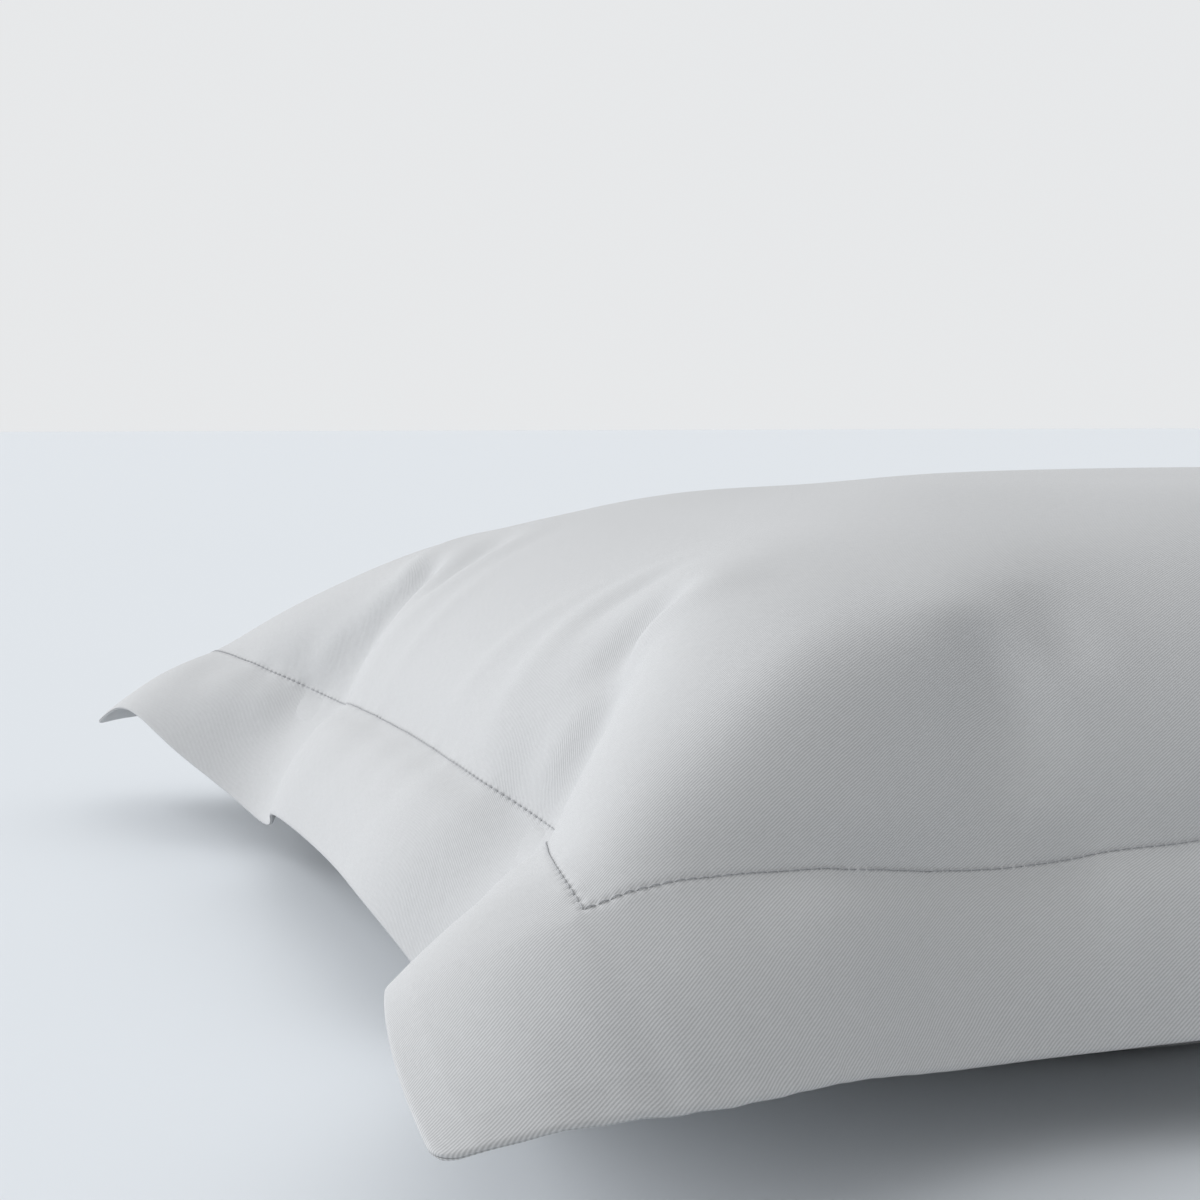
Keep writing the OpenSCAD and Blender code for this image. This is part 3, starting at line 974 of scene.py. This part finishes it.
def bumped(tree, shader, height, distance, strength=1.0):
    bump = tree.nodes.new("ShaderNodeBump")
    bump.inputs["Strength"].default_value = strength
    bump.inputs["Distance"].default_value = distance
    tree.links.new(height, bump.inputs["Height"])
    tree.links.new(bump.outputs["Normal"], shader.inputs["Normal"])


def on_cloth(tree):
    node = tree.nodes.new("ShaderNodeAttribute")
    node.attribute_name = "cloth"
    return node.outputs["Vector"]


TWILL_PITCH = 0.00065   # from one rib to the next
TWILL_SLANT = math.radians(32)
TWILL_WANDER = 0.0008   # how far a rib strays from straight
TWILL_DARK = 0.62       # the hollows and the ribs, as shares of the case's colour
TWILL_LIGHT = 1.24
TWILL_RELIEF = 0.00007
CASE_COLOUR = (0.53, 0.535, 0.54)


def twill():
    """Fine cotton twill: slanting ribs on the flat cloth, with uneven yarns."""
    material, tree, shader = tree_of("case_twill", 0.85, 0.15)
    place = on_cloth(tree)
    split = tree.nodes.new("ShaderNodeSeparateXYZ")
    tree.links.new(place, split.inputs[0])
    slant = math_node(tree, "SUBTRACT",
                      math_node(tree, "MULTIPLY", split.outputs["X"], math.sin(TWILL_SLANT)),
                      math_node(tree, "MULTIPLY", split.outputs["Y"], math.cos(TWILL_SLANT)))
    wander = noise(tree, place, 60.0, 2.0)
    slant = math_node(tree, "ADD", slant, math_node(tree, "MULTIPLY", wander, TWILL_WANDER))
    turns = math_node(tree, "MULTIPLY", slant, 2 * math.pi / TWILL_PITCH)
    rib = mapped(tree, math_node(tree, "SINE", turns), 0.0, 1.0)
    tree.nodes[-1].inputs["From Min"].default_value = -1.0
    yarn = noise(tree, scaled(tree, place, (260.0, 3200.0, 1.0)), 1.0, 2.0)
    weft = noise(tree, scaled(tree, place, (3200.0, 260.0, 1.0)), 1.0, 2.0)
    weave = math_node(tree, "ADD", math_node(tree, "MULTIPLY", rib, 0.52),
                      math_node(tree, "ADD", math_node(tree, "MULTIPLY", yarn, 0.26),
                                math_node(tree, "MULTIPLY", weft, 0.22)))
    dark = tuple(c * TWILL_DARK for c in CASE_COLOUR)
    light = tuple(min(1, c * TWILL_LIGHT) for c in CASE_COLOUR)
    colour_by(tree, shader, weave, dark, light)
    bumped(tree, shader, weave, TWILL_RELIEF, 0.9)
    return material


def plain_cloth(name, dark, light, rough, scale=2600.0, depth=0.00005):
    material, tree, shader = tree_of(name, rough, 0.1)
    place = on_cloth(tree)
    warp = noise(tree, scaled(tree, place, (180.0, scale, 1.0)), 1.0, 1.0)
    weft = noise(tree, scaled(tree, place, (scale, 180.0, 1.0)), 1.0, 1.0)
    weave = math_node(tree, "MULTIPLY", math_node(tree, "ADD", warp, weft), 0.5)
    colour_by(tree, shader, weave, dark, light)
    bumped(tree, shader, weave, depth)
    return material


def fibrous(name, dark, light, rough, scale, depth):
    material, tree, shader = tree_of(name, rough, 0.1)
    place = tree.nodes.new("ShaderNodeTexCoord").outputs["Object"]
    strands = noise(tree, place, scale, 3.0, 0.6)
    colour_by(tree, shader, strands, dark, light)
    bumped(tree, shader, strands, depth)
    return material


# ---------------------------------------------------------------- building
upper, lower = simulate(FULL_STEPS)
ring = round(FLANGE / PITCH)
upper = dressed(upper, EDGE_L, EDGE_W)
lower = dressed(lower, HALF_L, HALF_W)
share_rim(upper[ring:-ring, ring:-ring], lower)
upper, lower = finer(finer(upper)), finer(finer(lower))
upper = creased(upper)
UPPER = Panel(upper, EDGE_L, EDGE_W, 1)
LOWER = Panel(lower, HALF_L, HALF_W, -1)

case_cloth = twill()
# The stitching thread is darker than the fabric. The real thread matches the fabric's grey, and the
# extra darkness is painted shade for the stitches' shadows and needle holes.
case_thread = fibrous("case_thread", (0.34, 0.345, 0.355), (0.50, 0.505, 0.515), 0.7, 2600, 0.00004)
label_tape = plain_cloth("label_tape", (0.74, 0.74, 0.73), (0.88, 0.88, 0.87), 0.45)
ticking_cloth = plain_cloth("ticking", (0.66, 0.66, 0.65), (0.82, 0.82, 0.81), 0.85)
insert_thread = fibrous("insert_thread", (0.70, 0.70, 0.69), (0.86, 0.86, 0.85), 0.7, 2600, 0.00004)
fibre = fibrous("fibre_fill", (0.72, 0.72, 0.72), (0.95, 0.95, 0.95), 0.95, 160, 0.004)

case_front(case_cloth)
case_back(case_cloth)
case_flap(case_cloth)

seam = seam_lines(HALF_L, HALF_W)
stitches("flange_needle_stitches", seam, STITCH, above_front, case_thread,
         ["flange_needle_thread"])
stitches("flange_bobbin_stitches", seam, STITCH, below_flange, case_thread,
         ["flange_bobbin_thread"])
stitches("edge_seam_stitches", seam_lines(EDGE_L - ALLOWANCE, EDGE_W - ALLOWANCE), STITCH,
         between_flange, case_thread, ["edge_seam_thread"], rise=0.0001)
hem_v = HALF_W * 0.9
back_hem = BACK_END - HEM + HEM_STITCH_INSET
stitches("back_hem_stitches", [((back_hem, -hem_v), (back_hem, hem_v))], STITCH,
         below_back, case_thread, ["back_hem_thread"])
flap_hem = FLAP_START + FLAP_HEM
stitches("flap_hem_stitches", [((flap_hem, -hem_v), (flap_hem, hem_v))], STITCH,
         above_flap, case_thread, ["flap_hem_thread"])

ticking("ticking_top_cloth", UPPER, TOP_DEPTH, ticking_cloth, ["ticking_top"], False)
ticking("ticking_bottom_cloth", LOWER, BOTTOM_DEPTH, ticking_cloth, ["ticking_bottom"], True)
filling(fibre, FILL_TOP_DEPTH, FILL_BOTTOM_DEPTH)
insert_label(label_tape)
ring_tube("piping_cord", 0.0, CORD_RADIUS, ticking_cloth, ["piping_cord"], 10, 0.05)
ring_tube("ticking_seam_stitches", SEAM_THREAD_INSET, SEAM_THREAD_RADIUS,
          insert_thread, ["ticking_seam_thread"], 6, 0.2)


def closing_place(u, v, lift):
    return insert_point(UPPER, u, v, CORD_DEPTH - lift)


closing_u = -INSERT_L + CLOSING_INSET
stitches("closing_stitches", [((closing_u, -CLOSING_HALF), (closing_u, CLOSING_HALF))], CLOSING_STITCH,
         closing_place, insert_thread, ["closing_stitch"])
care_label(label_tape)

# ---------------------------------------------------------------- floor, light and camera
FLOOR_HALF = 40
FLOOR_DROP = 0.0002     # how far below the surface's height the floor is drawn
FLOOR_COLOUR = (0.705, 0.735, 0.765)

scene = bpy.context.scene
floor_mesh = bpy.data.meshes.new("floor")
floor_corners = [(x * FLOOR_HALF, y * FLOOR_HALF, 0) for x, y in ((-1, -1), (1, -1), (1, 1), (-1, 1))]
floor_mesh.from_pydata(floor_corners, [], [(0, 1, 2, 3)])
floor = bpy.data.objects.new("floor", floor_mesh)
floor.location.z = -FLOOR_DROP
scene.collection.objects.link(floor)
floor_material, floor_tree, floor_shader = tree_of("floor_plain", 0.55)
floor_shader.inputs["Base Color"].default_value = (*FLOOR_COLOUR, 1)
floor_mesh.materials.append(floor_material)

world = bpy.data.worlds.new("pale")
scene.world = world
world.use_nodes = True
sky = world.node_tree
aim = sky.nodes.new("ShaderNodeVectorMath")
aim.operation = "DOT_PRODUCT"
aim.inputs[1].default_value = (-0.30, 0.95, 0.10)
sky.links.new(sky.nodes.new("ShaderNodeTexCoord").outputs["Generated"], aim.inputs[0])
glow = sky.nodes.new("ShaderNodeMapRange")
glow.interpolation_type = "SMOOTHSTEP"
glow.inputs["From Min"].default_value = -0.7
glow.inputs["From Max"].default_value = 0.15
glow.inputs["To Min"].default_value = 0.70
glow.inputs["To Max"].default_value = 1.0
sky.links.new(aim.outputs["Value"], glow.inputs["Value"])
sky.links.new(glow.outputs["Result"], sky.nodes["Background"].inputs["Strength"])
sky.nodes["Background"].inputs["Color"].default_value = (0.80, 0.81, 0.82, 1)

WINDOW_SIDE = (-2.2, 1.5, 1.35)     # the direction that the soft window light comes from
SUN_POWER = 2.3
SUN_SPREAD = 50         # degrees across: how soft its shadows are
light = bpy.data.lights.new("window", "SUN")
light.energy = SUN_POWER
light.angle = math.radians(SUN_SPREAD)
light.color = (0.97, 0.98, 1.0)
lamp = bpy.data.objects.new("window", light)
lamp.location = WINDOW_SIDE
lamp.rotation_euler = (-Vector(WINDOW_SIDE)).to_track_quat("-Z", "Y").to_euler()
scene.collection.objects.link(lamp)

CAMERA_PLACE = (-0.501, -0.620, 0.167)
CAMERA_YAW, CAMERA_PITCH, CAMERA_ROLL = 20.04, 5.09, 0.08
CAMERA_FOCUS = 1.662    # focal length in widths of the picture
SENSOR = 36

lens = bpy.data.cameras.new("camera")
lens.sensor_width = SENSOR
lens.lens = CAMERA_FOCUS * SENSOR
lens.clip_start = 0.01
lens.dof.use_dof = False
camera = bpy.data.objects.new("camera", lens)
yaw, pitch = math.radians(CAMERA_YAW), math.radians(CAMERA_PITCH)
ahead = Vector((math.sin(yaw) * math.cos(pitch), math.cos(yaw) * math.cos(pitch), -math.sin(pitch)))
turn = ahead.to_track_quat("-Z", "Y").to_matrix()
camera.rotation_euler = (turn @ Matrix.Rotation(math.radians(-CAMERA_ROLL), 3, "Z")).to_euler()
camera.location = CAMERA_PLACE
scene.collection.objects.link(camera)
scene.camera = camera
scene.view_settings.view_transform = "Standard"
